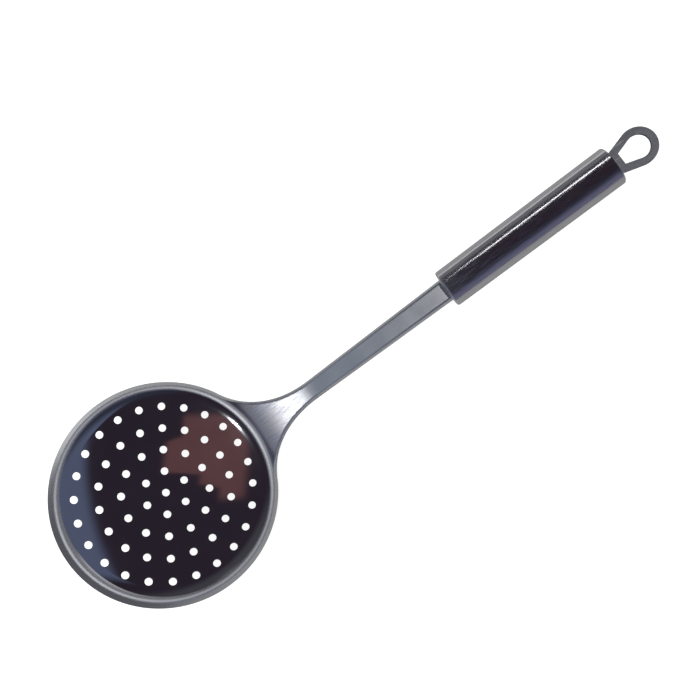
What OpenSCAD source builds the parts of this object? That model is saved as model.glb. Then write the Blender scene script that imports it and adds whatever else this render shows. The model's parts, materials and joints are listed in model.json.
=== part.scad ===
// A kitchen skimmer of stainless steel, lying at rest on a table.
// X runs along the tool towards its hanging loop, Z is up, and the table is z = 0.
// The origin is on the table, under the middle of the tool's length and width.
// The head is drawn flat in its own frame first: dish centre at the origin, rim level.

/* [Bowl] */
// Outside diameter of the bowl, over the edge of its turned-down border
bowl_d = 111; // [97:0.5:130]
// Thickness of the stamped sheet
sheet_t = 1; // [0.8:0.1:1.2]
// Radius of the shallow dish, on its upper face
dish_r = 172; // [140:1:260]
// Width of the rim's zone outside the dish, from the turn of the wall to the outer edge
rim_zone = 10; // [9:0.1:14]
// Radius of the turn from the dish up into the wall, made less where the rim's zone is narrow
knuckle_r = 19; // [8:0.5:30]
// Slope of the wall where it meets the crest, in degrees
wall_slope = 32; // [26:1:45]
// Radius of the rim's crest, on its outer face
lip_r = 1.6; // [1.3:0.1:2.2]
// Slope of the border that falls from the crest, in degrees
border_slope = 55; // [45:1:65]
// Height of the turned-down edge, round the bowl and along the neck
edge_h = 4; // [3.9:0.1:5]

/* [Holes] */
// Diameter of the draining holes
hole_d = 3.8; // [2.5:0.1:5]
// Distance from one ring of holes to the next
hole_pitch = 10.75; // [7:0.05:10.95]
// How far the holes' middle lies from the bowl's middle, away from the handle
hole_shift = 1.1; // [0:0.1:1.5]

/* [Neck and shank] */
// Radius of the two hollow curves from the rim into the shank, seen from above
fillet_r = 43.5; // [30:0.5:60]
// Width of the shank where it is narrowest
waist_w = 10.9; // [9:0.1:12]
// Width of the shank where it enters the handle
shank_w = 12.6; // [11:0.1:14]
// Radius of the upward bend of the neck, on its upper face
bend_r = 52; // [40:1:90]
// Angle between the bowl's rim and the handle, in degrees
handle_slope = 38.2; // [30:0.1:45]
// Straight length of shank from the end of the bend to the handle
shank_len = 87.4; // [60:0.1:110]
// Length of shank hidden in the handle
tang_len = 16; // [10:1:30]

/* [Handle] */
// Outside diameter of the tube
tube_d = 20.5; // [19:0.5:26]
// Wall thickness of the tube
tube_t = 0.8; // [0.6:0.1:1.2]
// Length of the handle, over both end caps
handle_len = 99; // [80:0.5:120]
// Thickness of each end cap's face
cap_t = 1.6; // [1.3:0.1:2.5]
// Rounding of each end cap's outer edge
cap_round = 1; // [0.5:0.1:1.2]
// Depth of each end cap's skirt inside the tube
skirt_len = 6; // [4:0.5:10]
// Wall thickness of the skirt
skirt_t = 1; // [0.8:0.1:1.5]

/* [Hanging loop] */
// Thickness of the loop's plate
loop_t = 1.8; // [1.5:0.1:2.4]
// Width of the loop where it leaves the end cap
loop_base_w = 11.2; // [9:0.1:13]
// Distance from the end cap to the middle of the loop's round head
loop_reach = 13.8; // [12:0.1:18]
// Radius of the round head
loop_head_r = 9.4; // [8:0.1:10.2]
// Width of the loop's strip, round the window
loop_strip_w = 3.7; // [3:0.1:5]
// Distance from the end cap to the window
window_start = 4.7; // [3.5:0.1:6]
// Width of the window's straight side
window_base_w = 6; // [4:0.1:6.5]
// Length of the tongue that passes through the end cap
tongue_len = 6; // [4:0.5:10]

/* [Fits] */
// Clearance round the shank and the tongue in the end caps' slots
slot_gap = 0.1; // [0.05:0.01:0.2]
// Clearance between the end caps' skirts and the tube
cap_gap = 0.05; // [0.02:0.01:0.1]
// Leg of the weld beads inside the end caps
weld_leg = 1.2; // [0.8:0.1:1.2]
// How far the neck's hollow curves are let into the rim
root_lap = 0.4; // [0.2:0.1:0.8]
// Step down from the rim's crest to the neck's face
neck_step = 0.25; // [0.1:0.05:0.4]

/* [Hidden] */
$fn = 96;
// A length longer than any piece, for cutting
far = 400;
// Least width of plain wall under the crest
wall_min = 0.2;
// How far arcs that touch are let into each other, so that they join as one piece
seam = 0.02;
steel = [0.72, 0.73, 0.75];
bright_steel = [0.80, 0.81, 0.83];
dull_steel = [0.52, 0.53, 0.55];
weld_steel = [0.60, 0.58, 0.55];

// The bowl's section, by distance from its middle: the dish's arc, the knuckle's arc, a straight
// wall, the crest's arc and the straight border, each running on from the one before
rim_r = bowl_d / 2;
crest_drop = lip_r * (1 - cos(border_slope));
border_w = lip_r * sin(border_slope) + (edge_h - crest_drop) / tan(border_slope);
crest_r = rim_r - border_w;
dish_edge = asin((rim_r - rim_zone) / dish_r);
turn_room = rim_zone - border_w - lip_r * sin(wall_slope) - wall_min;
turn_r = min(knuckle_r, turn_room / (sin(wall_slope) - sin(dish_edge)));
// Rings of holes round the middle one, as many as fit in the dish
hole_rings = floor((rim_r - rim_zone) / hole_pitch);
knuckle_x = (dish_r - turn_r) * sin(dish_edge);
knuckle_z = dish_r - (dish_r - turn_r) * cos(dish_edge);
wall_run = crest_r - knuckle_x - (turn_r + lip_r) * sin(wall_slope);
lip_z = knuckle_z - (turn_r + lip_r) * cos(wall_slope) + wall_run * tan(wall_slope);
crest_z = lip_z + lip_r;
edge_z = crest_z - edge_h;

// The neck in plan: where its hollow curves touch the bowl's circle and the shank's sides
fillet_y = waist_w / 2 + fillet_r;
fillet_x = sqrt(pow(rim_r + fillet_r - root_lap, 2) - pow(fillet_y, 2));
// Half the width of the neck's root, at the border's edge and at the crest
root_y = fillet_y * rim_r / (rim_r + fillet_r) - border_w;
root_face_y = root_y - border_w;

// The neck from the side: level at the rim, one bend, then straight up into the handle
neck_z = crest_z - neck_step;
bend_z = neck_z + bend_r;
axis_r = bend_r + edge_h / 2;
mouth_x = rim_r + axis_r * sin(handle_slope) + shank_len * cos(handle_slope);
mouth_z = bend_z - axis_r * cos(handle_slope) + shank_len * sin(handle_slope);
straight_len = shank_len + tang_len;
tang_x = mouth_x + tang_len * cos(handle_slope);

// Lying down, the tool stands on the neck's bend and on the front cap's rounded edge, two
// circles in its side view that the table's line touches from below
rock_r = bend_r + edge_h + seam;
foot_x = mouth_x + cap_round * cos(handle_slope) + (tube_d / 2 - cap_round) * sin(handle_slope);
foot_z = mouth_z + cap_round * sin(handle_slope) - (tube_d / 2 - cap_round) * cos(handle_slope);
foot_reach = norm([foot_x - rim_r, foot_z - bend_z]);
rest_tilt = atan2(foot_z - bend_z, foot_x - rim_r) + asin((rock_r - cap_round) / foot_reach);
rest_slope = handle_slope - rest_tilt;
rest_z = rock_r + rim_r * sin(rest_tilt) - bend_z * cos(rest_tilt);
low_x = edge_z * sin(rest_tilt) - rim_r * cos(rest_tilt);
mouth_rest_x = mouth_x * cos(rest_tilt) + mouth_z * sin(rest_tilt);
loop_len = handle_len + loop_reach + loop_head_r;
high_x = mouth_rest_x + loop_len * cos(rest_slope) + loop_t / 2 * sin(rest_slope);
rest_x = -(low_x + high_x) / 2;

// Inside the handle
bore_d = tube_d - 2 * tube_t;
skirt_d = bore_d - 2 * cap_gap;
window_r = loop_head_r - loop_strip_w;

// Where a line from the point (0, half_w) touches a circle of radius r round (reach, 0)
function touch_len(half_w, reach, r) = sqrt(pow(reach, 2) + pow(half_w, 2) - pow(r, 2));
function touch_angle(half_w, reach, r) =
    asin(r / sqrt(pow(reach, 2) + pow(half_w, 2))) - atan2(half_w, reach);
function touch(half_w, reach, r) = [
    touch_len(half_w, reach, r) * cos(touch_angle(half_w, reach, r)),
    half_w + touch_len(half_w, reach, r) * sin(touch_angle(half_w, reach, r))
];

// Turns and lifts the head's own frame into its place on the table
module lying_down() {
    translate([rest_x, 0, rest_z])
        rotate([0, rest_tilt, 0])
            children();
}

// The handle's frame: origin at the middle of its front end, X along it
module on_handle() {
    lying_down()
        translate([mouth_x, 0, mouth_z])
            rotate([0, -handle_slope, 0])
                children();
}

// All that lies under the sheet of the bowl, by distance from its middle, lowered by drop:
// the dish's arc, the knuckle's hollow arc, the wall, the round crest and the falling border
module under_sheet(drop) {
    reach = 2 * dish_r;
    turn = turn_r + drop;
    roll = lip_r - drop;
    deep = -4 * sheet_t - drop;
    border_x = crest_r + (roll - seam) * sin(border_slope);
    border_z = lip_z + (roll - seam) * cos(border_slope);
    border_len = 2 * edge_h;
    difference() {
        polygon([
            [0, deep],
            [0, knuckle_z],
            [knuckle_x, knuckle_z],
            [knuckle_x + turn * sin(wall_slope), knuckle_z - turn * cos(wall_slope)],
            [crest_r - (roll - seam) * sin(wall_slope), lip_z + (roll - seam) * cos(wall_slope)],
            [crest_r, lip_z],
            [border_x, border_z],
            [border_x + border_len * cos(border_slope), border_z - border_len * sin(border_slope)],
            [border_x + border_len * cos(border_slope), deep]
        ]);
        intersection() {
            translate([0, dish_r])
                circle(r = dish_r + drop, $fn = 720);
            polygon([
                [0, dish_r],
                [0, dish_r - reach],
                [reach * sin(dish_edge), dish_r - reach * cos(dish_edge)]
            ]);
        }
        translate([knuckle_x, knuckle_z])
            circle(r = turn + seam);
    }
    translate([crest_r, lip_z])
        circle(r = roll);
}

// The bowl's sheet in section: dish, knuckle, wall, crest and the border, cut level at its edge
module bowl_section() {
    difference() {
        under_sheet(0);
        under_sheet(sheet_t);
        translate([crest_r, edge_z - far])
            square(far);
    }
}

// The neck and shank from above, drawn in by inset on each side
module neck_plan(inset) {
    difference() {
        polygon([[0, 0], [fillet_x, fillet_y], [fillet_x, -fillet_y]]);
        for (side = [-1, 1])
            translate([fillet_x, side * fillet_y])
                circle(r = fillet_r + inset, $fn = 180);
    }
    polygon([
        [fillet_x - 1, waist_w / 2 + seam - inset],
        [mouth_x, shank_w / 2 - inset],
        [tang_x, shank_w / 2 - inset],
        [tang_x, inset - shank_w / 2],
        [mouth_x, inset - shank_w / 2],
        [fillet_x - 1, inset - seam - waist_w / 2]
    ]);
}

// All that is above the neck's line, seen from the side, with the line lowered by drop and its
// straight part this long
module above_neck(drop, straight) {
    translate([0, neck_z - drop])
        square([rim_r, far]);
    translate([rim_r, bend_z])
        circle(r = bend_r + drop + seam, $fn = 180);
    translate([rim_r, bend_z])
        rotate(handle_slope)
            translate([0, -bend_r - drop])
                square([straight, far]);
}

// A block of the neck's plan, from one depth below its upper face to another
module neck_block(inset, top, bottom) {
    intersection() {
        linear_extrude(height = far, center = true)
            neck_plan(inset);
        rotate([90, 0, 0])
            linear_extrude(height = bowl_d, center = true)
                difference() {
                    above_neck(bottom, straight_len);
                    above_neck(top, far);
                }
    }
}

// The hollow under the neck's face, between its two turned-down edges
module neck_hollow() {
    intersection() {
        neck_block(sheet_t, sheet_t, 2 * edge_h);
        cube([2 * far, 2 * root_face_y, 2 * far], center = true);
    }
}

// All that is between the sides of the neck's root, which fall outwards as the border does
module root_sides() {
    rotate([90, 0, 90])
        linear_extrude(height = far, center = true)
            polygon([
                [-root_face_y, far],
                [-root_face_y, neck_z],
                [-root_y, edge_z],
                [-root_y, -far],
                [root_y, -far],
                [root_y, edge_z],
                [root_face_y, neck_z],
                [root_face_y, far]
            ]);
}

module holes() {
    for (ring = [0 : hole_rings])
        for (i = [0 : max(6 * ring, 1) - 1])
            translate([-hole_shift, 0, dish_r])
                rotate(360 * i / max(6 * ring, 1))
                    rotate([0, 180 - asin(ring * hole_pitch / dish_r), 0])
                        translate([0, 0, dish_r - 2 * sheet_t])
                            cylinder(h = 5 * sheet_t, d = hole_d, $fn = 32);
}

// One stamping: perforated bowl, neck, shank and the tang in the handle
module skimmer_head() {
    color(bright_steel)
        lying_down()
            difference() {
                union() {
                    difference() {
                        rotate_extrude()
                            bowl_section();
                        difference() {
                            neck_hollow();
                            cylinder(r = crest_r + lip_r / 2, h = far, center = true);
                        }
                    }
                    difference() {
                        intersection() {
                            neck_block(0, 0, edge_h);
                            root_sides();
                        }
                        neck_hollow();
                        cylinder(r = crest_r + lip_r / 4, h = far, center = true);
                        rotate_extrude()
                            under_sheet(sheet_t / 2);
                    }
                }
                holes();
            }
}

// A pressed cup that closes the tube, face at x = 0 and skirt towards +X
module end_cap() {
    rotate([0, 90, 0])
        rotate_extrude() {
            square([tube_d / 2 - cap_round, cap_t]);
            translate([0, cap_round])
                square([tube_d / 2, cap_t - cap_round]);
            translate([tube_d / 2 - cap_round, cap_round])
                circle(r = cap_round);
            translate([skirt_d / 2 - skirt_t, 0])
                square([skirt_t, cap_t + skirt_len]);
        }
}

// The shank's own section, grown by gap all round, through the front cap
module shank_slot(gap) {
    difference() {
        cube([4 * cap_t, shank_w + 2 * gap, edge_h + 2 * gap], center = true);
        translate([0, 0, -sheet_t - 2 * gap])
            cube([5 * cap_t, shank_w - 2 * sheet_t - 2 * gap, edge_h + 2 * gap], center = true);
    }
}

module front_cap() {
    color(steel)
        on_handle()
            difference() {
                end_cap();
                shank_slot(slot_gap);
            }
}

// A three-cornered bead along Y, in the corner between a flat plate and a cap's inner face
module weld_bead(width) {
    rotate([90, 0, 0])
        linear_extrude(height = width, center = true)
            polygon([[0, 0], [weld_leg, 0], [0, weld_leg]]);
}

// Beads above and below the shank's face hold it in the front cap
module shank_weld() {
    bead_w = shank_w - 4 * sheet_t;
    color(weld_steel)
        on_handle() {
            translate([cap_t, 0, edge_h / 2])
                weld_bead(bead_w);
            translate([cap_t, 0, edge_h / 2 - sheet_t])
                mirror([0, 0, 1])
                    weld_bead(bead_w);
        }
}

module handle_tube() {
    color(steel)
        on_handle()
            translate([cap_t, 0, 0])
                rotate([0, 90, 0])
                    difference() {
                        cylinder(d = tube_d, h = handle_len - 2 * cap_t);
                        translate([0, 0, -1])
                            cylinder(d = bore_d, h = handle_len);
                    }
}

module rear_cap() {
    color(steel)
        on_handle()
            translate([handle_len, 0, 0])
                mirror([1, 0, 0])
                    difference() {
                        end_cap();
                        cube([4 * cap_t, loop_base_w + 2 * slot_gap, loop_t + 2 * slot_gap], center = true);
                    }
}

// Beads above and below the loop's tongue hold it in the rear cap
module loop_weld() {
    bead_w = loop_base_w - 2 * weld_leg;
    color(weld_steel)
        on_handle()
            translate([handle_len - cap_t, 0, 0])
                for (up = [0, 1])
                    mirror([0, 0, up])
                        translate([0, 0, loop_t / 2])
                            mirror([1, 0, 0])
                                weld_bead(bead_w);
}

// A flat pear: a straight stem, then sides that spread from half_w to a round head
module pear(stem, half_w, reach, r, thick) {
    corner = touch(half_w, reach, r - seam);
    linear_extrude(height = thick, center = true)
        polygon([
            [-stem, half_w],
            [0, half_w],
            corner,
            [reach, 0],
            [corner[0], -corner[1]],
            [0, -half_w],
            [-stem, -half_w]
        ]);
    translate([reach, 0, 0])
        cylinder(r = r, h = thick, center = true);
}

module hanging_loop() {
    color(dull_steel)
        on_handle()
            translate([handle_len, 0, 0])
                difference() {
                    pear(cap_t + tongue_len, loop_base_w / 2, loop_reach, loop_head_r, loop_t);
                    translate([window_start, 0, 0])
                        pear(0, window_base_w / 2, loop_reach - window_start, window_r, 2 * loop_t);
                }
}

skimmer_head();
front_cap();
shank_weld();
handle_tube();
rear_cap();
loop_weld();
hanging_loop();
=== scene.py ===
import bmesh
import bpy
import math
from mathutils import Matrix, Vector
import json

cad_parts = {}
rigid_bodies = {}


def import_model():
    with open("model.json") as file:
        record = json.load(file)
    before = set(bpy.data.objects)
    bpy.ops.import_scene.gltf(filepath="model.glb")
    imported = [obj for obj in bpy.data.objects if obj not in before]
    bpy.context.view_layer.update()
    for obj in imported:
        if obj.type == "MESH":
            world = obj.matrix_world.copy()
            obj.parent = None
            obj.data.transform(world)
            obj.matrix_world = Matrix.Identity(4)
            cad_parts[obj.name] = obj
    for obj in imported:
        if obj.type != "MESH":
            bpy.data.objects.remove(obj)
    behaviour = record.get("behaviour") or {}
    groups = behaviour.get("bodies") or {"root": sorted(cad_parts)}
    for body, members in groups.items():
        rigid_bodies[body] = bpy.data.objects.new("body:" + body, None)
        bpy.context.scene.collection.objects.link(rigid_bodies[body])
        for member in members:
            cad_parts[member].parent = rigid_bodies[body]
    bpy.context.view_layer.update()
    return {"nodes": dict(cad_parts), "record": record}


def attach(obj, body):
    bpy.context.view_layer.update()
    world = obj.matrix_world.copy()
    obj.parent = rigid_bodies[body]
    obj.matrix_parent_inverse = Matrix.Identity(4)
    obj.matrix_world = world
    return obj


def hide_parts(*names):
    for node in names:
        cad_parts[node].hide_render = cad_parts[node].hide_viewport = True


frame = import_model()

# The skimmer head: a shallow perforated bowl, its neck and the shank, which runs on into the handle.
# It is one stamping of 1 mm stainless sheet, punched, drawn, turned down all along its edge and then
# polished. Its sizes are in millimetres, in the bowl's own level frame.
MM = 0.001
sheet_t = 1.0
rim_r = 55.5
rim_zone = 10.0
dish_r = 172.0
knuckle_r = 19.0
wall_slope = math.radians(32.0)
lip_r = 1.6
border_slope = math.radians(55.0)
edge_h = 4.0
hole_d = 3.8
hole_pitch = 10.75
hole_shift = 1.1
hole_rings = 4
fillet_r = 43.5
waist_half = 5.45
shank_half = 6.3
shoulder_slope = math.radians(74.0)
bend_r = 52.0
handle_slope = math.radians(38.2)
shank_len = 87.4
tang_len = 16.0
neck_step = 0.25
step_run = 3.2



def border_width(slope):
    """How far the turned-down border reaches out from the crest, where it falls at this slope."""
    return lip_r * math.sin(slope) + (edge_h - lip_r * (1 - math.cos(slope))) / math.tan(slope)


border_w = border_width(border_slope)
crest_r = rim_r - border_w
dish_edge = math.asin((rim_r - rim_zone) / dish_r)
knuckle_x = (dish_r - knuckle_r) * math.sin(dish_edge)
knuckle_z = dish_r - (dish_r - knuckle_r) * math.cos(dish_edge)
wall_run = crest_r - knuckle_x - (knuckle_r + lip_r) * math.sin(wall_slope)
lip_z = knuckle_z - (knuckle_r + lip_r) * math.cos(wall_slope) + wall_run * math.tan(wall_slope)
crest_z = lip_z + lip_r
edge_z = crest_z - edge_h
neck_z = crest_z - neck_step
fillet_y = waist_half + fillet_r
fillet_x = math.sqrt((rim_r + fillet_r) ** 2 - fillet_y**2)
root_angle = math.atan2(fillet_y, fillet_x)
bend_end_x = rim_r + bend_r * math.sin(handle_slope)
bend_end_z = neck_z + bend_r * (1 - math.cos(handle_slope))
mouth_x = rim_r + (bend_r + edge_h / 2) * math.sin(handle_slope) + shank_len * math.cos(handle_slope)
mouth_z = neck_z + bend_r - (bend_r + edge_h / 2) * math.cos(handle_slope) + shank_len * math.sin(handle_slope)
tang_x = mouth_x + tang_len * math.cos(handle_slope)

# The grip's mount gives the handle's axis and middle, and so how the whole tool lies on the table
handle_len = 99.0
grip = next(m for m in frame["record"]["mounts"] if m["name"] == "handle_grip")
rest_slope = math.atan2(grip["axis"][2], grip["axis"][0])
mouth_place = Vector(grip["pos_m"]) - Vector(grip["axis"]) * handle_len / 2 * MM
head_turn = Matrix.Rotation(handle_slope - rest_slope, 4, "Y")
mouth_in_head = head_turn @ Vector((mouth_x, 0, mouth_z)) * MM
head_place = Matrix.Translation(mouth_place - mouth_in_head) @ head_turn @ Matrix.Scale(MM, 4)
handle_place = Matrix.Translation(mouth_place) @ Matrix.Rotation(-rest_slope, 4, "Y") @ Matrix.Scale(MM, 4)


def linear(code):
    """A colour written as sRGB hex, in linear light."""
    parts = [int(code[i : i + 2], 16) / 255 for i in (1, 3, 5)]
    return [c / 12.92 if c <= 0.04045 else ((c + 0.055) / 1.055) ** 2.4 for c in parts] + [1.0]


def add(tree, kind, links=None, **settings):
    """Adds one node. Links are by socket name or number, each from another node's output or to a value."""
    made = tree.nodes.new(kind)
    for name, value in settings.items():
        setattr(made, name, value)
    for socket, value in (links or {}).items():
        if isinstance(value, bpy.types.NodeSocket):
            tree.links.new(value, made.inputs[socket])
        else:
            made.inputs[socket].default_value = value
    return made


def arc(middle, radius, start, end, steps):
    """Points of an arc in a section, by distance from the bowl's axis and height. Angles are from straight up."""
    turns = [start + (end - start) * i / steps for i in range(steps + 1)]
    return [(middle[0] + radius * math.sin(a), middle[1] + radius * math.cos(a)) for a in turns]


def grid(made, rows, loose=0.001):
    """Quads between rows of points, facing up where rows run outwards and points run anticlockwise."""
    points = [[made.verts.new(p) for p in row] for row in rows]
    for near, far in zip(points, points[1:]):
        for i in range(len(near) - 1):
            corners = [near[i], far[i], far[i + 1], near[i + 1]]
            if (corners[0].co - corners[3].co).length < loose:
                corners.pop()
            made.faces.new(corners)


def piece(name, made, place, sharp=35.0):
    """A finished mesh object: placed and smooth but for its real edges."""
    mesh = bpy.data.meshes.new(name)
    made.to_mesh(mesh)
    made.free()
    mesh.transform(place)
    mesh.polygons.foreach_set("use_smooth", [True] * len(mesh.polygons))
    mesh.set_sharp_from_angle(angle=math.radians(sharp))
    found = bpy.data.objects.new(name, mesh)
    bpy.context.scene.collection.objects.link(found)
    return found


def border_line(slope, lift=0.0, steps=8):
    """The border's section out from the crest and down: the crest's arc, then straight to the edge."""
    crest = [(out, -height) for out, height in arc((0, -lip_r), lip_r, 0, slope, steps)]
    return crest + [(border_width(slope) - lift / math.tan(slope), edge_h - lift)]


# The bowl's section from its middle out to the crest of the rim, then over the rim to its edge
dish_line = arc((0, dish_r), -dish_r, 0, -dish_edge, 26)
knuckle_line = arc((knuckle_x, knuckle_z), -knuckle_r, -dish_edge, -wall_slope, 10)
lip_line = arc((crest_r, lip_z), lip_r, -wall_slope, 0, 10)
bowl_line = dish_line + knuckle_line[1:] + lip_line
rim_line = [(crest_r + out, crest_z - down) for out, down in border_line(border_slope)]

# The bowl is turned round its axis, in narrower steps where the neck leaves it
neck_steps = 36
round_steps = 150
neck_angles = [root_angle * (2 * i / neck_steps - 1) for i in range(neck_steps + 1)]
far_turn = 2 * (math.pi - root_angle)
rim_angles = [root_angle + far_turn * i / round_steps for i in range(round_steps + 1)]


def turned(line, angles):
    """Rows of points: one for each point of a section, turned to each angle."""
    return [[(r * math.cos(a), r * math.sin(a), z) for a in angles] for r, z in line]


def face_height(x, y):
    """Height of the neck's face: a small step down from the crest, level to the rim, then the bend."""
    along = min(max((math.hypot(x, y) - crest_r) / step_run, 0), 1)
    step = neck_step * (1 - along * along * (3 - 2 * along))
    if x <= rim_r:
        return neck_z + step
    if x <= bend_end_x:
        return neck_z + step + bend_r - math.sqrt(bend_r**2 - (x - rim_r) ** 2)
    return bend_end_z + (x - bend_end_x) * math.tan(handle_slope)


def face_slope(x):
    """Slope of the neck's face along the tool, as an angle."""
    return math.asin(min(max(x - rim_r, 0) / bend_r, math.sin(handle_slope)))


# Stations along the neck's edge: round the hollow fillet to the waist, then along the shank
fillet_steps = 44
shank_steps = 34
stations = []
for i in range(fillet_steps + 1):
    share = (i / fillet_steps) ** 1.5
    turn = (math.pi + root_angle) + share * (math.pi / 2 - root_angle)
    steep = shoulder_slope + (border_slope - shoulder_slope) * (1 - min(share * 1.6, 1)) ** 2
    out = Vector((-math.cos(turn), -math.sin(turn)))
    edge = Vector((fillet_x, fillet_y)) - out * fillet_r
    stations.append((edge, out, steep, (1 - share) ** 1.3))
for i in range(1, shank_steps + 1):
    x = fillet_x + (tang_x - fillet_x) * i / shank_steps
    widen = min((x - fillet_x) / (mouth_x - fillet_x), 1)
    edge = Vector((x, waist_half + (shank_half - waist_half) * widen))
    stations.append((edge, Vector((0, 1)), shoulder_slope, 0))

# Each station gives one row across the neck's face, and one line over the shoulder on each side
face_rows = []
shoulder_rows = []
bow = crest_r - crest_r * math.cos(root_angle)
for edge, out, steep, share in stations:
    start = edge - out * border_width(steep)
    # The steep shoulder's inner edge hangs lower than its outer one, so both rise by that much
    lift = sheet_t * math.cos(shoulder_slope) * (steep - border_slope) / (shoulder_slope - border_slope)
    row = []
    for a in neck_angles:
        across = math.sin(a) / math.sin(root_angle)
        bulge = (crest_r * math.cos(a) - crest_r * math.cos(root_angle)) / bow
        x = start.x + bow * share * bulge
        y = start.y * across
        row.append((x, y, face_height(x, y)))
    face_rows.append(row)
    shoulder = []
    for reach, fall in border_line(steep, lift):
        x, y = start + out * reach
        slope = face_slope(x)
        down = Vector((math.sin(slope), 0, -math.cos(slope)))
        shoulder.append(Vector((x, y, face_height(x, y))) + down * fall)
    shoulder_rows.append(shoulder)

sheet = bmesh.new()
grid(sheet, turned(bowl_line, neck_angles))
grid(sheet, turned(bowl_line, rim_angles))
grid(sheet, turned(rim_line, rim_angles))
grid(sheet, face_rows)
grid(sheet, [list(line) for line in zip(*shoulder_rows)][::-1])
grid(sheet, [[Vector((p.x, -p.y, p.z)) for p in line] for line in zip(*shoulder_rows)])
bmesh.ops.remove_doubles(sheet, verts=sheet.verts, dist=0.02)
bmesh.ops.recalc_face_normals(sheet, faces=sheet.faces)
# An open sheet has no inside, so the dish's middle says which way is up
sheet.faces.ensure_lookup_table()
if sheet.faces[0].normal.z < 0:
    bmesh.ops.reverse_faces(sheet, faces=sheet.faces)

# Polished stainless steel: a mirror in the bowl, where it shows the room around it in soft dark
# patches. The neck and shank were only brushed lengthwise, so fine streaks spread their reflections.
# Real polishing lines are far finer, and these are drawn 0.6 mm wide so that they show.
polished = bpy.data.materials.new("stainless_sheet_polished")
polished.use_nodes = True
tree = polished.node_tree
shader = tree.nodes["Principled BSDF"]
shader.inputs["Metallic"].default_value = 1.0
to_head, turn_to_head, grow = head_place.inverted().decompose()
where = add(tree, "ShaderNodeTexCoord")
place = add(
    tree,
    "ShaderNodeMapping",
    {"Vector": where.outputs["Object"], "Location": to_head, "Rotation": turn_to_head.to_euler(), "Scale": grow},
)
along = add(tree, "ShaderNodeSeparateXYZ", {"Vector": place.outputs[0]})
past_crest = add(
    tree,
    "ShaderNodeMapRange",
    {"Value": along.outputs["X"], "From Min": crest_r - 1, "From Max": crest_r + 4},
    interpolation_type="SMOOTHSTEP",
)
before_shank = add(
    tree,
    "ShaderNodeMapRange",
    {"Value": along.outputs["X"], "From Min": bend_end_x + 6, "From Max": bend_end_x - 12},
    interpolation_type="SMOOTHSTEP",
)
neck = add(tree, "ShaderNodeMath", {0: past_crest.outputs[0], 1: before_shank.outputs[0]}, operation="MULTIPLY")
stretch = add(tree, "ShaderNodeMapping", {"Vector": place.outputs[0], "Scale": (0.07, 1.7, 0.3)})
streaks = add(tree, "ShaderNodeTexNoise", {"Vector": stretch.outputs[0], "Scale": 1.0, "Detail": 5.0, "Roughness": 0.7})
smear = add(tree, "ShaderNodeTexNoise", {"Vector": place.outputs[0], "Scale": 0.06, "Detail": 3.0})
tint = add(
    tree,
    "ShaderNodeMix",
    {"Factor": smear.outputs["Fac"], "A": linear("#c3c4c9"), "B": linear("#d3d4d7")},
    data_type="RGBA",
)
shine = add(
    tree,
    "ShaderNodeMapRange",
    {"Value": smear.outputs["Fac"], "From Min": 0.3, "From Max": 0.7, "To Min": 0.045, "To Max": 0.075},
)
brushed = add(
    tree,
    "ShaderNodeMapRange",
    {"Value": streaks.outputs["Fac"], "From Min": 0.35, "From Max": 0.7, "To Min": 0.4, "To Max": 0.6},
)
level = add(tree, "ShaderNodeCombineXYZ", {"X": along.outputs["X"], "Y": along.outputs["Y"]})
reach = add(tree, "ShaderNodeVectorMath", {0: level.outputs[0]}, operation="LENGTH")
dulled = add(
    tree,
    "ShaderNodeMapRange",
    {"Value": reach.outputs["Value"], "From Min": crest_r - 2, "From Max": crest_r - 0.5, "To Max": 0.6},
)
past_rim = add(
    tree,
    "ShaderNodeMapRange",
    {"Value": reach.outputs["Value"], "From Min": crest_r + 0.7, "From Max": crest_r + 1.5, "To Min": 1.0, "To Max": 0.3},
)
worn = add(tree, "ShaderNodeMath", {0: dulled.outputs[0], 1: past_rim.outputs[0]}, operation="MULTIPLY")
rim_shine = add(tree, "ShaderNodeMath", {0: shine.outputs[0], 1: worn.outputs[0]}, operation="ADD")
gloss = add(
    tree,
    "ShaderNodeMix",
    {"Factor": neck.outputs[0], "A": rim_shine.outputs[0], "B": brushed.outputs[0]},
)
depth = add(tree, "ShaderNodeMath", {0: neck.outputs[0], 1: 0.03, 2: 0.0015}, operation="MULTIPLY_ADD")
relief = add(
    tree,
    "ShaderNodeBump",
    {"Strength": 1.0, "Distance": 0.0002, "Height": add(tree, "ShaderNodeMath", {0: streaks.outputs["Fac"], 1: depth.outputs[0]}, operation="MULTIPLY").outputs[0]},
)
# Painted reflection: darker blue-grey streaks in the neck's own colour stand in for the blue-grey room mirrored there.
# They are strongest next to the bowl, and the streaks follow the brushing.
painted_reflection_streaks = add(
    tree,
    "ShaderNodeMapRange",
    {"Value": streaks.outputs["Fac"], "From Min": 0.42, "From Max": 0.62, "To Max": neck.outputs[0]},
)
near_root = add(
    tree,
    "ShaderNodeMapRange",
    {"Value": along.outputs["X"], "From Min": rim_r + 3, "From Max": rim_r + 15, "To Min": 0.85, "To Max": 0.2},
)
painted_reflection_streaks = add(tree, "ShaderNodeMath", {0: painted_reflection_streaks.outputs[0], 1: near_root.outputs[0]}, operation="MULTIPLY")
tint = add(
    tree,
    "ShaderNodeMix",
    {"Factor": painted_reflection_streaks.outputs[0], "A": tint.outputs["Result"], "B": linear("#8d9dbb")},
    data_type="RGBA",
)
tree.links.new(tint.outputs["Result"], shader.inputs["Base Color"])
tree.links.new(gloss.outputs[0], shader.inputs["Roughness"])
tree.links.new(relief.outputs[0], shader.inputs["Normal"])

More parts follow.
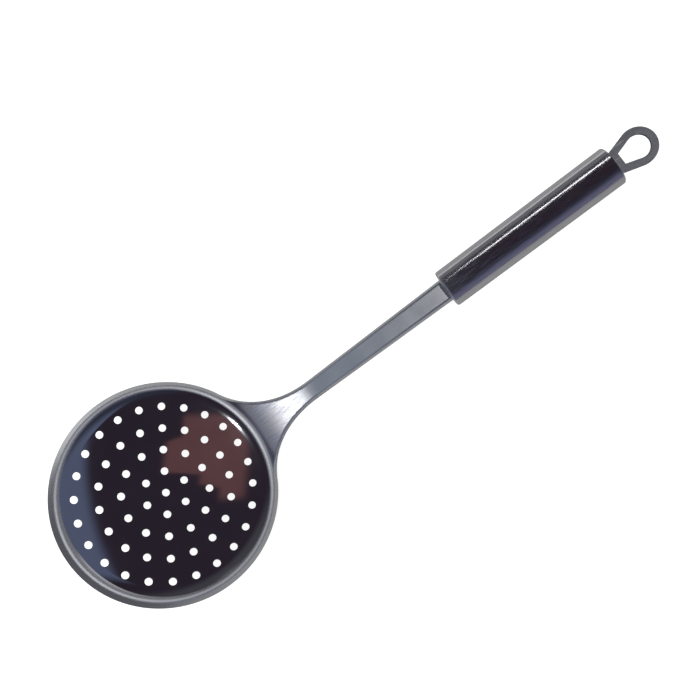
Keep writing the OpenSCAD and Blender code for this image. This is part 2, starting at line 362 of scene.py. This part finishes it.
# The draining holes are punched square to the dish, in rings of 6, 12, 18 and 24 round a middle one
punch = bpy.data.node_groups.new("punched_rings", "GeometryNodeTree")
punch_inputs = {
    "Sheet": "NodeSocketGeometry",
    "Hole Diameter": "NodeSocketFloat",
    "Ring Pitch": "NodeSocketFloat",
    "Pattern Shift": "NodeSocketFloat",
    "Dish Radius": "NodeSocketFloat",
    "Rings": "NodeSocketInt",
    "Punch Length": "NodeSocketFloat",
    "Finish": "NodeSocketMaterial",
}
for name, kind in punch_inputs.items():
    punch.interface.new_socket(name, in_out="INPUT", socket_type=kind)
punch.interface.new_socket("Sheet", in_out="OUTPUT", socket_type="NodeSocketGeometry")
given = add(punch, "NodeGroupInput").outputs


def sum_up(operation, first, second=0.0, third=0.0):
    """The result of one step of arithmetic in the punching tree."""
    return add(punch, "ShaderNodeMath", {0: first, 1: second, 2: third}, operation=operation).outputs[0]


# A hole's ring and its place in the ring follow from its number, with 3 k (k - 1) + 1 holes inside ring k
number = add(punch, "GeometryNodeInputIndex").outputs[0]
inside = sum_up("SQRT", sum_up("MAXIMUM", sum_up("MULTIPLY_ADD", number, 12.0, -3.0), 0.0))
ring = sum_up("FLOOR", sum_up("DIVIDE", sum_up("ADD", inside, 3.0), 6.0))
before = sum_up("MULTIPLY_ADD", sum_up("MULTIPLY", ring, 3.0), sum_up("SUBTRACT", ring, 1.0), 1.0)
holes_in_ring = sum_up("MAXIMUM", sum_up("MULTIPLY", ring, 6.0), 1.0)
share = sum_up("DIVIDE", sum_up("SUBTRACT", number, before), holes_in_ring)
turn = sum_up("MULTIPLY", share, 2 * math.pi)
lean = sum_up("ARCSINE", sum_up("DIVIDE", sum_up("MULTIPLY", ring, given["Ring Pitch"]), given["Dish Radius"]))
radius = sum_up("MULTIPLY", sum_up("SINE", lean), given["Dish Radius"])
rise = sum_up("MULTIPLY", sum_up("SUBTRACT", 1.0, sum_up("COSINE", lean)), given["Dish Radius"])
spot = add(
    punch,
    "ShaderNodeCombineXYZ",
    {
        "X": sum_up("SUBTRACT", sum_up("MULTIPLY", radius, sum_up("COSINE", turn)), given["Pattern Shift"]),
        "Y": sum_up("MULTIPLY", radius, sum_up("SINE", turn)),
        "Z": rise,
    },
)
facing = add(punch, "ShaderNodeCombineXYZ", {"Y": sum_up("MULTIPLY", lean, -1.0), "Z": turn})
all_holes = sum_up("MULTIPLY_ADD", sum_up("MULTIPLY", given["Rings"], 3.0), sum_up("ADD", given["Rings"], 1.0), 1.0)
spots = add(punch, "GeometryNodePoints", {"Count": all_holes, "Position": spot.outputs[0]})
pin = add(
    punch,
    "GeometryNodeMeshCylinder",
    {
        "Vertices": 40,
        "Radius": sum_up("DIVIDE", given["Hole Diameter"], 2.0),
        "Depth": given["Punch Length"],
    },
)
pins = add(
    punch,
    "GeometryNodeInstanceOnPoints",
    {
        "Points": spots.outputs[0],
        "Instance": pin.outputs["Mesh"],
        "Rotation": add(punch, "FunctionNodeEulerToRotation", {0: facing.outputs[0]}).outputs[0],
    },
)
loose_pins = add(punch, "GeometryNodeRealizeInstances", {"Geometry": pins.outputs[0]})
cut = add(
    punch,
    "GeometryNodeMeshBoolean",
    {"Mesh 1": given["Sheet"], "Mesh 2": loose_pins.outputs[0]},
    operation="DIFFERENCE",
    solver="EXACT",
)
whole = add(punch, "GeometryNodeRealizeInstances", {"Geometry": cut.outputs["Mesh"]})
finish = add(punch, "GeometryNodeSetMaterial", {"Geometry": whole.outputs[0], "Material": given["Finish"]})
add(punch, "NodeGroupOutput", {0: finish.outputs[0]})


def give(modifier, values):
    """Sets a modifier's inputs, each found by its name and set by its own identifier."""
    for socket in modifier.node_group.interface.items_tree:
        if socket.in_out == "INPUT" and socket.name in values:
            modifier[socket.identifier] = values[socket.name]


def settle(found, place, sharp=35.0):
    """Makes an object's modifiers its plain mesh, put in its place, smooth but for its real edges."""
    graph = bpy.context.evaluated_depsgraph_get()
    mesh = bpy.data.meshes.new_from_object(found.evaluated_get(graph))
    found.modifiers.clear()
    found.data = mesh
    mesh.transform(place)
    mesh.polygons.foreach_set("use_smooth", [True] * len(mesh.polygons))
    mesh.set_sharp_from_angle(angle=math.radians(sharp))
    return found


skimmer_head = piece("skimmer_head_sheet", sheet, Matrix.Identity(4))
wall = skimmer_head.modifiers.new("sheet", "SOLIDIFY")
wall.thickness = sheet_t
wall.offset = -1
wall.use_even_offset = True
punching = skimmer_head.modifiers.new("punching", "NODES")
punching.node_group = punch
give(
    punching,
    {
        "Hole Diameter": hole_d,
        "Ring Pitch": hole_pitch,
        "Pattern Shift": hole_shift,
        "Dish Radius": dish_r,
        "Rings": hole_rings,
        "Punch Length": 6 * sheet_t,
        "Finish": polished,
    },
)
settle(skimmer_head, head_place)

# The dish is a true sphere, so its faces take their shading straight from the sphere's middle
sphere_middle = head_place @ Vector((0, 0, dish_r))
normals = [Vector()] * len(skimmer_head.data.loops)
for face in skimmer_head.data.polygons:
    for outside, sign in ((0, 1), (sheet_t, -1)):
        corners = [skimmer_head.data.vertices[v].co - sphere_middle for v in face.vertices]
        if all(abs(c.length - (dish_r + outside) * MM) < 0.00002 for c in corners):
            for corner, loop in zip(corners, face.loop_indices):
                normals[loop] = -corner.normalized() * sign
skimmer_head.data.normals_split_custom_set(normals)
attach(skimmer_head, "root")
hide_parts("skimmer_head")

# The front cap: a cup pressed from stainless sheet, which closes the tube's front end. The shank
# passes through a channel-shaped slot in its face. Handle sizes run from the handle's front end.
tube_d = 20.5
tube_t = 0.8
cap_t = 1.6
cap_round = 1.0
skirt_len = 6.0
skirt_t = 1.0
slot_gap = 0.1
cap_gap = 0.05
skirt_r = tube_d / 2 - tube_t - cap_gap
brim = 0.3


def ring_of(line, steps=128):
    """A closed section turned round the handle's axis: line holds (distance along, radius) points."""
    made = bmesh.new()
    rows = []
    for x, r in line + line[:1]:
        rows.append([(x, r * math.cos(2 * math.pi * i / steps), r * math.sin(2 * math.pi * i / steps)) for i in range(steps + 1)])
    grid(made, rows)
    bmesh.ops.remove_doubles(made, verts=made.verts, dist=0.001)
    bmesh.ops.recalc_face_normals(made, faces=made.faces)
    return made


def cap_line():
    """An end cap's half section: the face with its rounded edge, the step that meets the tube and the skirt."""
    outer = tube_d / 2
    bend = [
        (cap_round - cap_round * math.cos(math.pi / 2 * i / 8), outer - cap_round + cap_round * math.sin(math.pi / 2 * i / 8))
        for i in range(9)
    ]
    inner = [(cap_t, skirt_r), (cap_t + skirt_len, skirt_r), (cap_t + skirt_len, skirt_r - skirt_t), (cap_t, skirt_r - skirt_t)]
    return [(0, 0), (0, outer - cap_round - brim)] + bend + [(cap_t, outer)] + inner + [(cap_t, 0)]


def slotted(name, made, cutter, place, finish):
    """A cap with a slot cut through its face by a cutter mesh."""
    found = piece(name, made, Matrix.Identity(4))
    found.data.materials.append(finish)
    tool = piece(name + "_slot", cutter, Matrix.Identity(4))
    slot = found.modifiers.new("slot", "BOOLEAN")
    slot.operation = "DIFFERENCE"
    slot.solver = "EXACT"
    slot.object = tool
    settle(found, place, 30)
    bpy.data.objects.remove(tool)
    return found


def prism(outline, start, end):
    """A closed block: an outline in Y and Z, swept along the handle from start to end."""
    made = bmesh.new()
    near = [made.verts.new((start, y, z)) for y, z in outline]
    far = [made.verts.new((end, y, z)) for y, z in outline]
    made.faces.new(near)
    made.faces.new(far[::-1])
    for i in range(len(outline)):
        made.faces.new([near[i - 1], far[i - 1], far[i], near[i]])
    bmesh.ops.recalc_face_normals(made, faces=made.faces)
    return made


# Drawn stainless tube and pressed caps, satin from years in the hand: fine lengthwise scratches
# and a few nicks break up the reflections, which stay sharp across the tube and blur along it.
worn = bpy.data.materials.new("stainless_tube_worn")
worn.use_nodes = True
tree = worn.node_tree
shader = tree.nodes["Principled BSDF"]
shader.inputs["Metallic"].default_value = 1.0
to_handle, turn_to_handle, grow = handle_place.inverted().decompose()
where = add(tree, "ShaderNodeTexCoord")
place = add(
    tree,
    "ShaderNodeMapping",
    {"Vector": where.outputs["Object"], "Location": to_handle, "Rotation": turn_to_handle.to_euler(), "Scale": grow},
)
stretch = add(tree, "ShaderNodeMapping", {"Vector": place.outputs[0], "Scale": (0.12, 1.6, 1.6)})
streaks = add(tree, "ShaderNodeTexNoise", {"Vector": stretch.outputs[0], "Scale": 1.0, "Detail": 6.0, "Roughness": 0.75})
nicks = add(tree, "ShaderNodeTexVoronoi", {"Vector": place.outputs[0], "Scale": 0.23})
nick = add(
    tree,
    "ShaderNodeMapRange",
    {"Value": nicks.outputs["Distance"], "From Min": 0.035, "From Max": 0.07, "To Min": 1.0, "To Max": 0.0},
)
gloss = add(
    tree,
    "ShaderNodeMapRange",
    {"Value": streaks.outputs["Fac"], "From Min": 0.35, "From Max": 0.7, "To Min": 0.08, "To Max": 0.26},
)
tint = add(
    tree,
    "ShaderNodeMix",
    {"Factor": streaks.outputs["Fac"], "A": linear("#9c9ca3"), "B": linear("#f2f2f3")},
    data_type="RGBA",
)
height = add(tree, "ShaderNodeMath", {0: nick.outputs[0], 1: -1.5}, operation="MULTIPLY")
height = add(tree, "ShaderNodeMath", {0: streaks.outputs["Fac"], 1: height.outputs[0]}, operation="ADD")
relief = add(tree, "ShaderNodeBump", {"Strength": 1.0, "Distance": 0.000006, "Height": height.outputs[0]})
tree.links.new(tint.outputs["Result"], shader.inputs["Base Color"])
tree.links.new(gloss.outputs[0], shader.inputs["Roughness"])
tree.links.new(relief.outputs[0], shader.inputs["Normal"])

across = shank_half + slot_gap
under_web = sheet_t + slot_gap
shank_slot = [
    (-across, -edge_h / 2 - slot_gap),
    (-across, edge_h / 2 + slot_gap),
    (across, edge_h / 2 + slot_gap),
    (across, -edge_h / 2 - slot_gap),
    (across - under_web - slot_gap, -edge_h / 2 - slot_gap),
    (across - under_web - slot_gap, edge_h / 2 - under_web),
    (under_web + slot_gap - across, edge_h / 2 - under_web),
    (under_web + slot_gap - across, -edge_h / 2 - slot_gap),
]
front_cap = slotted("front_cap_pressed", ring_of(cap_line()), prism(shank_slot, -cap_t, 2 * cap_t), handle_place, worn)
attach(front_cap, "root")
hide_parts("front_cap")

# The shank's weld: two short beads inside the front cap, above and below the shank's face. They are
# filler steel run in by hand. The tube hides them, so the CAD beads stay as they are.
bead = bpy.data.materials.new("stainless_weld_bead")
bead.use_nodes = True
tree = bead.node_tree
shader = tree.nodes["Principled BSDF"]
shader.inputs["Metallic"].default_value = 1.0
shader.inputs["Roughness"].default_value = 0.45
# Overlapping ripples, 0.8 mm apart, and straw and blue heat colours that run across the bead
where = add(tree, "ShaderNodeTexCoord")
ripple_pitch = 0.0008
ripples = add(
    tree,
    "ShaderNodeTexWave",
    {"Vector": where.outputs["Object"], "Scale": 0.31 / ripple_pitch, "Distortion": 2.0},
    bands_direction="Y",
)
heat = add(tree, "ShaderNodeTexNoise", {"Vector": where.outputs["Object"], "Scale": 400.0})
tint = add(
    tree,
    "ShaderNodeMix",
    {"Factor": heat.outputs["Fac"], "A": linear("#8d8270"), "B": linear("#8b90a3")},
    data_type="RGBA",
)
relief = add(tree, "ShaderNodeBump", {"Strength": 1.0, "Distance": 0.0001, "Height": ripples.outputs["Fac"]})
tree.links.new(tint.outputs["Result"], shader.inputs["Base Color"])
tree.links.new(relief.outputs[0], shader.inputs["Normal"])
for node in ("shank_weld", "loop_weld"):
    beads = frame["nodes"][node]
    beads.data.materials.clear()
    beads.data.materials.append(bead)

# The handle: one length of drawn stainless tube with square ends, pushed over both caps' skirts.
tube_line = [
    (cap_t, tube_d / 2),
    (handle_len / 2, tube_d / 2),
    (handle_len - cap_t, tube_d / 2),
    (handle_len - cap_t, tube_d / 2 - tube_t),
    (cap_t, tube_d / 2 - tube_t),
]
handle_tube = piece("handle_tube_drawn", ring_of(tube_line, 160), handle_place)
handle_tube.data.materials.append(worn)
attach(handle_tube, "root")
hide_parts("handle_tube")

# The rear cap: the same pressed cup, the other way round, with a flat slot for the hanging loop's tongue.
loop_t = 1.8
loop_base_half = 5.6
rear_line = [(handle_len - x, r) for x, r in cap_line()]
tongue_y = loop_base_half + slot_gap
tongue_z = loop_t / 2 + slot_gap
tongue_slot = [(-tongue_y, -tongue_z), (-tongue_y, tongue_z), (tongue_y, tongue_z), (tongue_y, -tongue_z)]
tongue_cut = prism(tongue_slot, handle_len - 2 * cap_t, handle_len + cap_t)
rear_cap = slotted("rear_cap_pressed", ring_of(rear_line), tongue_cut, handle_place, worn)
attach(rear_cap, "root")
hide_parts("rear_cap")

# The hanging loop: a pear-shaped eye stamped from 1.8 mm stainless plate and tumbled matte. Its
# tongue goes through the rear cap and is welded inside. Its outline runs from the cap's face.
loop_reach = 13.8
loop_head_r = 9.4
loop_strip = 3.7
window_start = 4.7
window_half = 3.0
tongue_len = 6.0
stamped_edge = 0.25
window_r = loop_head_r - loop_strip


def pear(half, reach, r, stem, steps=56):
    """A pear's outline: a straight base, sides that spread to touch a round head, and the head's arc."""
    side = math.sqrt(reach**2 + half**2 - r**2)
    lean = math.asin(r / math.hypot(reach, half)) - math.atan2(half, reach)
    touch = Vector((side * math.cos(lean), half + side * math.sin(lean)))
    start = math.atan2(touch.y, touch.x - reach)
    head = [start - 2 * start * i / steps for i in range(steps + 1)]
    round_end = [(reach + r * math.cos(a), r * math.sin(a)) for a in head]
    return [(-stem, half)] + [(0, half)] * (stem > 0) + round_end + [(0, -half)] * (stem > 0) + [(-stem, -half)]


flat = bpy.data.curves.new("hanging_loop_outline", "CURVE")
flat.dimensions = "2D"
flat.fill_mode = "BOTH"
flat.extrude = loop_t / 2 - stamped_edge
flat.bevel_depth = stamped_edge
flat.bevel_resolution = 3
flat.offset = -stamped_edge
window = [(x + window_start, y) for x, y in pear(window_half, loop_reach - window_start, window_r, 0)]
for outline in (pear(loop_base_half, loop_reach, loop_head_r, cap_t + tongue_len), window):
    line = flat.splines.new("POLY")
    line.points.add(len(outline) - 1)
    for point, (x, y) in zip(line.points, outline):
        point.co = (x + handle_len, y, 0, 1)
    line.use_cyclic_u = True

# Tumbled stainless plate: even, matte and a little darker than the tube, with short pale scratches
tumbled = bpy.data.materials.new("stainless_plate_tumbled")
tumbled.use_nodes = True
tree = tumbled.node_tree
shader = tree.nodes["Principled BSDF"]
shader.inputs["Metallic"].default_value = 1.0
where = add(tree, "ShaderNodeTexCoord")
grain = add(tree, "ShaderNodeTexNoise", {"Vector": where.outputs["Object"], "Scale": 1800.0, "Detail": 4.0})
scratch_way = add(
    tree,
    "ShaderNodeMapping",
    {"Vector": where.outputs["Object"], "Rotation": (0, 0, math.radians(62)), "Scale": (90.0, 1400.0, 90.0)},
)
scratches = add(tree, "ShaderNodeTexNoise", {"Vector": scratch_way.outputs[0], "Scale": 1.0, "Detail": 2.0})
scratch = add(tree, "ShaderNodeMapRange", {"Value": scratches.outputs["Fac"], "From Min": 0.66, "From Max": 0.72})
tint = add(
    tree,
    "ShaderNodeMix",
    {"Factor": scratch.outputs[0], "A": linear("#77787c"), "B": linear("#b5b6b9")},
    data_type="RGBA",
)
gloss = add(
    tree,
    "ShaderNodeMapRange",
    {"Value": grain.outputs["Fac"], "From Min": 0.3, "From Max": 0.7, "To Min": 0.62, "To Max": 0.74},
)
relief = add(tree, "ShaderNodeBump", {"Strength": 1.0, "Distance": 0.00002, "Height": grain.outputs["Fac"]})
tree.links.new(tint.outputs["Result"], shader.inputs["Base Color"])
tree.links.new(gloss.outputs[0], shader.inputs["Roughness"])
tree.links.new(relief.outputs[0], shader.inputs["Normal"])

hanging_loop = bpy.data.objects.new("hanging_loop_stamped", flat)
bpy.context.scene.collection.objects.link(hanging_loop)
bpy.context.view_layer.update()
stamping = bpy.data.meshes.new_from_object(hanging_loop)
bpy.data.objects.remove(hanging_loop)
made = bmesh.new()
made.from_mesh(stamping)
bmesh.ops.remove_doubles(made, verts=made.verts, dist=0.001)
bmesh.ops.recalc_face_normals(made, faces=made.faces)
hanging_loop = piece("hanging_loop_stamped", made, handle_place, 40)
hanging_loop.data.materials.append(tumbled)
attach(hanging_loop, "root")
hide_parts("hanging_loop")

# The table: a plain white sheet under the tool, which keeps the tool's soft shadow. It shows white to the camera.
# In the steel it shows its lamp-lit grey and a painted glow: faint near the tool, as if in shade, and brighter on the
# far side.
floor_half = 3.0
floor_mesh = bmesh.new()
bmesh.ops.create_grid(floor_mesh, x_segments=1, y_segments=1, size=floor_half)
floor = piece("floor", floor_mesh, Matrix.Identity(4))
paper = bpy.data.materials.new("white_table")
paper.use_nodes = True
tree = paper.node_tree
shader = tree.nodes["Principled BSDF"]
shader.inputs["Base Color"].default_value = linear("#6e6e6e")
shader.inputs["Roughness"].default_value = 0.9
shader.inputs["Specular IOR Level"].default_value = 0.0
ray = add(tree, "ShaderNodeLightPath")
bounced = add(
    tree,
    "ShaderNodeMath",
    {0: ray.outputs["Is Glossy Ray"], 1: ray.outputs["Is Transmission Ray"]},
    operation="MAXIMUM",
)
spot = add(tree, "ShaderNodeSeparateXYZ", {"Vector": add(tree, "ShaderNodeTexCoord").outputs["Object"]})
# Painted light and shade: the glow the steel sees on the table rises from 0.03 near the tool to 0.4 beyond 0.2 m on the
# far side.
lit = add(
    tree,
    "ShaderNodeMapRange",
    {"Value": spot.outputs["Y"], "From Min": 0.08, "From Max": 0.2, "To Min": 0.03, "To Max": 0.4},
)
bounced = add(tree, "ShaderNodeMath", {0: bounced.outputs[0], 1: lit.outputs[0]}, operation="MULTIPLY")
seen = add(
    tree,
    "ShaderNodeMath",
    {0: ray.outputs["Is Camera Ray"], 1: 0.92, 2: bounced.outputs[0]},
    operation="MULTIPLY_ADD",
)
white = add(tree, "ShaderNodeEmission", {"Color": linear("#ffffff"), "Strength": seen.outputs[0]})
both = add(tree, "ShaderNodeAddShader", {0: shader.outputs[0], 1: white.outputs[0]})
tree.links.new(both.outputs[0], tree.nodes["Material Output"].inputs["Surface"])
floor.data.materials.append(paper)

# The room, which the steel mirrors, by direction: dark overhead and towards the handle's near side,
# pale behind the bowl, cool and low beyond the handle, with a brown cupboard beside it. The camera
# sees it white.
room = bpy.data.worlds.new("room")
bpy.context.scene.world = room
room.use_nodes = True
tree = room.node_tree
tree.nodes.clear()
way = add(tree, "ShaderNodeTexCoord")
parts = add(tree, "ShaderNodeSeparateXYZ", {"Vector": way.outputs["Generated"]})
# Height as seen along a shelf that slants down towards the far side
slant = add(tree, "ShaderNodeMath", {0: parts.outputs["Y"], 1: 0.3, 2: parts.outputs["Z"]}, operation="MULTIPLY_ADD")
measures = {"X": parts.outputs["X"], "Y": parts.outputs["Y"], "Z": parts.outputs["Z"], "slant": slant.outputs[0]}
colour = add(tree, "ShaderNodeRGB").outputs[0]
colour.default_value = linear("#322a35")
# Each patch: its colour, then for each measure where it begins to show and where it is full
patches = [
    ("#5f6780", {"X": (0.35, 0.6), "Y": (0.36, 0.22), "slant": (0.51, 0.455)}),
    ("#4b4950", {"Y": (0.45, 0.7)}),
    ("#77777c", {"X": (0.55, 0.4), "Y": (0.3, 0.6), "Z": (0.52, 0.32)}),
    ("#383a49", {"Y": (-0.45, -0.7)}),
    ("#6f6e88", {"Y": (-0.68, -1.0)}),
    ("#8b95a2", {"X": (-0.10, -0.30)}),
    ("#66676b", {"X": (-0.40, -0.58)}),
    ("#6b4a4c", {}),
]
masks = []
for code, fades in patches:
    mask = 1.0
    for measure, (begin, full) in fades.items():
        soft = add(
            tree,
            "ShaderNodeMapRange",
            {"Value": measures[measure], "From Min": begin, "From Max": full},
            interpolation_type="SMOOTHSTEP",
        )
        mask = add(tree, "ShaderNodeMath", {0: soft.outputs[0], 1: mask}, operation="MULTIPLY").outputs[0]
    masks.append(mask)


def fade(value, begin, full, most=1.0):
    """A mask from 0 where the value is at the first bound to its most at the second."""
    bounds = {"Value": value, "From Min": begin, "From Max": full, "To Max": most}
    return add(tree, "ShaderNodeMapRange", bounds).outputs[0]


# The cupboard's outline steps in at its lower end, so its far bound depends on the height across
turned_way = add(
    tree,
    "ShaderNodeVectorRotate",
    {"Vector": way.outputs["Generated"], "Angle": math.radians(36.1)},
    rotation_type="Z_AXIS",
)
cupboard = add(tree, "ShaderNodeSeparateXYZ", {"Vector": turned_way.outputs[0]})
far_side = 0.478
for height, step in ((0.22, 0.06), (0.37, -0.15), (0.43, -0.09)):
    stepped = fade(cupboard.outputs["Y"], height - 0.01, height + 0.01, step)
    far_side = add(tree, "ShaderNodeMath", {0: stepped, 1: far_side}).outputs[0]
past_side = add(tree, "ShaderNodeMath", {0: cupboard.outputs["X"], 1: far_side}, operation="SUBTRACT").outputs[0]
edges = [
    fade(past_side, 0.012, -0.012),
    fade(cupboard.outputs["X"], 0.17, 0.21),
    fade(cupboard.outputs["Y"], 0.10, 0.13),
    fade(cupboard.outputs["Y"], 0.50, 0.47),
]
for edge in edges:
    masks[-1] = add(tree, "ShaderNodeMath", {0: edge, 1: masks[-1]}, operation="MULTIPLY").outputs[0]
for (code, fades), mask in zip(patches, masks):
    patch = add(
        tree,
        "ShaderNodeMix",
        {"Factor": mask, "A": colour, "B": linear(code)},
        data_type="RGBA",
    )
    colour = patch.outputs["Result"]
inside_room = add(tree, "ShaderNodeBackground", {"Color": colour, "Strength": 1.0})
backdrop = add(tree, "ShaderNodeBackground", {"Color": linear("#ffffff"), "Strength": 1.0})
ray = add(tree, "ShaderNodeLightPath")
shown = add(
    tree,
    "ShaderNodeMixShader",
    {0: ray.outputs["Is Camera Ray"], 1: inside_room.outputs[0], 2: backdrop.outputs[0]},
)
add(tree, "ShaderNodeOutputWorld", {"Surface": shown.outputs[0]})


def lamp(name, kind, middle, aim, strength, **settings):
    """A soft lamp facing a point. The camera doesn't see it."""
    data = bpy.data.lights.new(name, kind)
    data.energy = strength
    for key, value in settings.items():
        setattr(data, key, value)
    made = bpy.data.objects.new(name, data)
    bpy.context.scene.collection.objects.link(made)
    made.location = middle
    made.rotation_euler = (Vector(aim) - Vector(middle)).to_track_quat("-Z", "Y").to_euler()
    made.visible_camera = False
    return made


# A narrow window beyond the far side draws the thin line along the tube. A small lamp almost
# overhead whitens the brushed neck. A broad one lights matt surfaces and the table alone.
window = lamp("narrow_window", "AREA", (0.26, 0.56, 0.62), (0.26, 0, 0.02), 0.3, shape="RECTANGLE", size=0.5, size_y=0.04)
ceiling = lamp("ceiling_lamp", "SUN", (0.16, -0.05, 0.98), (0, 0, 0), 1.4, angle=math.radians(0.5))
handle_parts = ("handle_tube_drawn", "front_cap_pressed", "rear_cap_pressed")
for light, in_handle in ((window, True), (ceiling, False)):
    reached = bpy.data.collections.new(light.name + "_reaches")
    light.light_linking.receiver_collection = reached
    for held in bpy.data.objects:
        if held.type == "MESH" and (held.name in handle_parts) == in_handle:
            reached.objects.link(held)
broad = lamp("broad_light", "AREA", (-0.1, 0.35, 1.0), (0, 0, 0), 26, shape="RECTANGLE", size=0.8, size_y=0.8)
broad.visible_glossy = False

# The camera looks almost straight down from 0.38 m, and its picture is the photograph's 700 pixels
# square. Its place and turn are those at which the tool's outlines fall on the photograph's.
picture = 700
focal = 725.8
half_pixel = 0.5 / picture
eye = bpy.data.cameras.new("camera")
eye.sensor_width = 36.0
eye.lens = 36.0 * focal / picture
eye.shift_x = -half_pixel
eye.shift_y = half_pixel
eye.clip_start = 0.01
camera = bpy.data.objects.new("camera", eye)
bpy.context.scene.collection.objects.link(camera)
right = Vector((0.79895, -0.58662, -0.13249))
up = Vector((0.59046, 0.80698, -0.0124))
camera_turn = Matrix((right, up, right.cross(up))).transposed().to_4x4()
camera.matrix_world = Matrix.Translation((0.03161, -0.021648, 0.382966)) @ camera_turn
bpy.context.scene.camera = camera

view = bpy.context.scene.view_settings
view.view_transform = "Standard"
